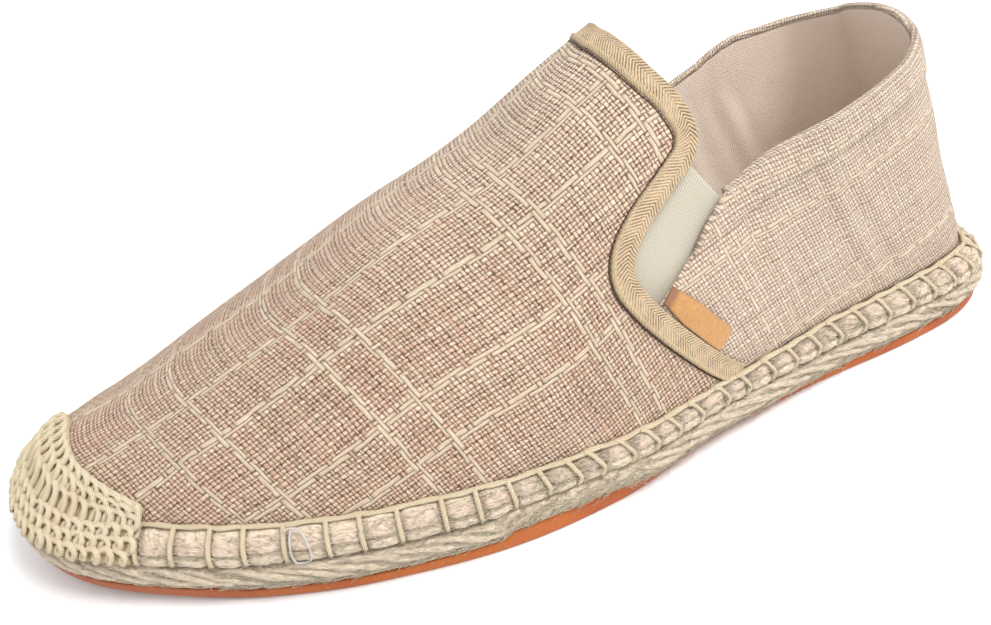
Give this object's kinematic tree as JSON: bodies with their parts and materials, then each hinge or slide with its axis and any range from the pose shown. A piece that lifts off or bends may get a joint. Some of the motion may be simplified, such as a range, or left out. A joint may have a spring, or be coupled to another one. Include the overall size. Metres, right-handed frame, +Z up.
{
  "type": "espadrille",
  "caption": "Left slip-on espadrille: checked linen-look upper with elastic side gussets and taped throat, braided jute sole, thin rubber outsole and yarn-wrapped toe.",
  "frame": {"origin": "on the ground under the middle of the shoe", "axes": "+Z up, toe towards -Y, heel towards +Y, outer (little-toe) side towards +X"},
  "size_m": [0.1084, 0.288, 0.1038],
  "materials": {
    "rubber": "matte crepe rubber",
    "jute": "braided jute rope",
    "lining": "cotton lining",
    "linen": "slubbed checked plain weave",
    "elastic": "ribbed elastic",
    "tape": "herringbone tape",
    "yarn": "cotton yarn",
    "tab": "woven tape"
  },
  "bodies": {
    "root": {"outsole": "rubber", "jute_sole": "jute", "insole": "lining", "upper": "linen", "gusset_lateral": "elastic", "gusset_medial": "elastic", "throat_binding": "tape", "edge_cord": "yarn", "toe_wrap": "yarn", "label_tab": "tab"}
  },
  "joints": []
}
